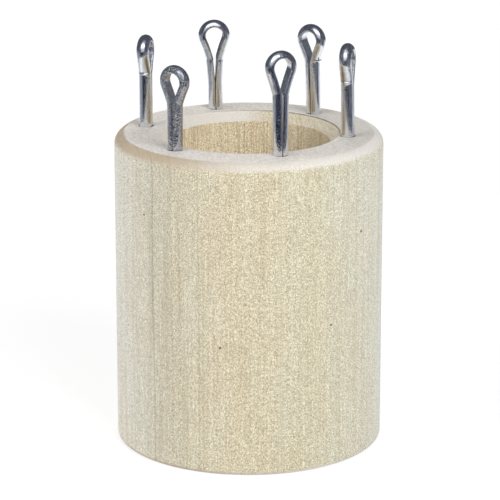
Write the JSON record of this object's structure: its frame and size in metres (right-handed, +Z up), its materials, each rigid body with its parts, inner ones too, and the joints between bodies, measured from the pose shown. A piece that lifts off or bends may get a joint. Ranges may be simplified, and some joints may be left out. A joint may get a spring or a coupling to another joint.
{
  "type": "i-cord knitting spool",
  "caption": "Wooden tube with split pins round its top rim, for knitting round cord by hand.",
  "frame": {"origin": "centre of the bore in the base plane", "axes": "+Z up along the bore, out of the pinned end; +X towards split_pin_1"},
  "size_m": [0.054, 0.054, 0.0842],
  "materials": {
    "maple": "sanded, unfinished",
    "zinc_plate": "bright zinc plate"
  },
  "bodies": {
    "root": {"wooden_body": "maple", "split_pin_1": "zinc_plate", "split_pin_2": "zinc_plate", "split_pin_3": "zinc_plate", "split_pin_4": "zinc_plate", "split_pin_5": "zinc_plate", "split_pin_6": "zinc_plate"}
  },
  "joints": []
}
